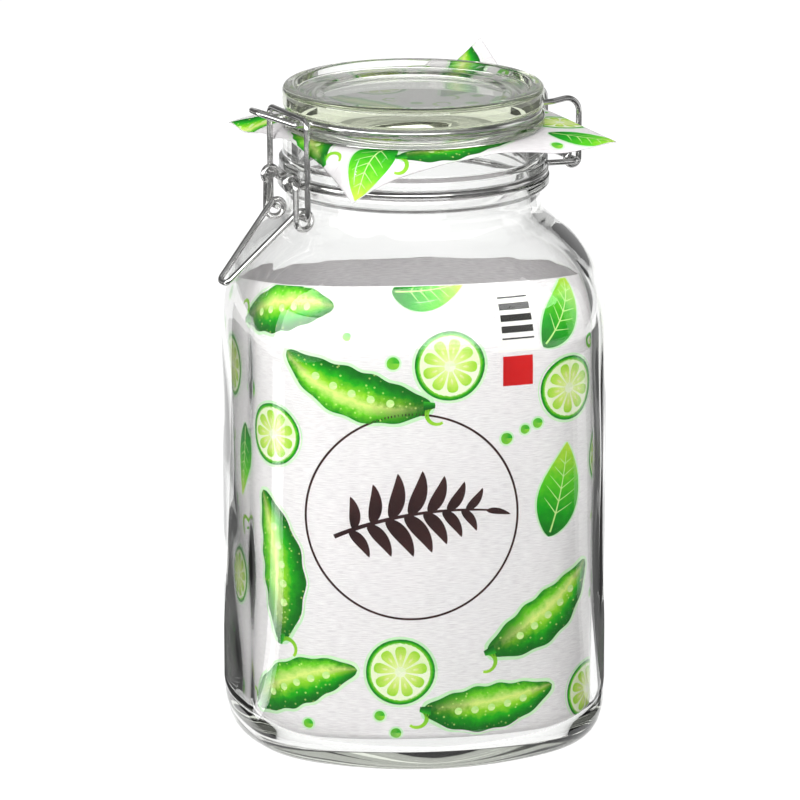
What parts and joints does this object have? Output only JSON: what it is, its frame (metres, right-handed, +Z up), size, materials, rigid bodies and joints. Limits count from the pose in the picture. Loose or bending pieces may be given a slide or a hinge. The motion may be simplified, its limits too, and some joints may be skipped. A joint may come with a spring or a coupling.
{
  "type": "clip-top jar",
  "caption": "Clear glass jar with a hinged glass lid, a wire clip, a printed paper sleeve inside and a paper square over the mouth.",
  "frame": {"origin": "on the jar's axis, in the plane of its base", "axes": "+Z up along the jar's axis, -X towards the wire clip, +X towards the lid's hinge, -Y the side the camera sees most; the square body is turned 20 degrees clockwise (seen from above) from this frame"},
  "size_m": [0.1553, 0.1518, 0.249],
  "materials": {
    "clear_glass": "clear pressed soda glass, smooth and glossy",
    "steel_wire": "bright drawn steel wire with fine draw lines",
    "printed_paper": "matt off-white paper printed in greens"
  },
  "bodies": {
    "jar": {"jar_glass": "clear_glass", "neck_wire": "steel_wire", "cover_paper": "printed_paper", "paper_sleeve": "printed_paper"},
    "lid": {"lid_glass": "clear_glass", "lid_wire": "steel_wire"},
    "lever": {"latch_lever": "steel_wire"},
    "link": {"latch_link": "steel_wire"}
  },
  "joints": [
    {"name": "lid_hinge", "type": "hinge", "parent": "jar", "child": "lid", "pos_m": [0.06, 0, 0.2132], "axis": [0, 1, 0], "range_deg": [0, 110]},
    {"name": "lever_pivot", "type": "hinge", "parent": "jar", "child": "lever", "pos_m": [-0.0545, 0, 0.2143], "axis": [0, 1, 0], "range_deg": [0, 100.5]},
    {"name": "link_pivot", "type": "hinge", "parent": "lever", "child": "link", "pos_m": [-0.0512, 0, 0.20145], "axis": [0, 1, 0], "range_deg": [-110.5, 0]}
  ],
  "couplings": [
    {"joint": "lever_pivot", "follows": "lid_hinge", "ratio": 0.909},
    {"joint": "link_pivot", "follows": "lid_hinge", "ratio": -1}
  ]
}
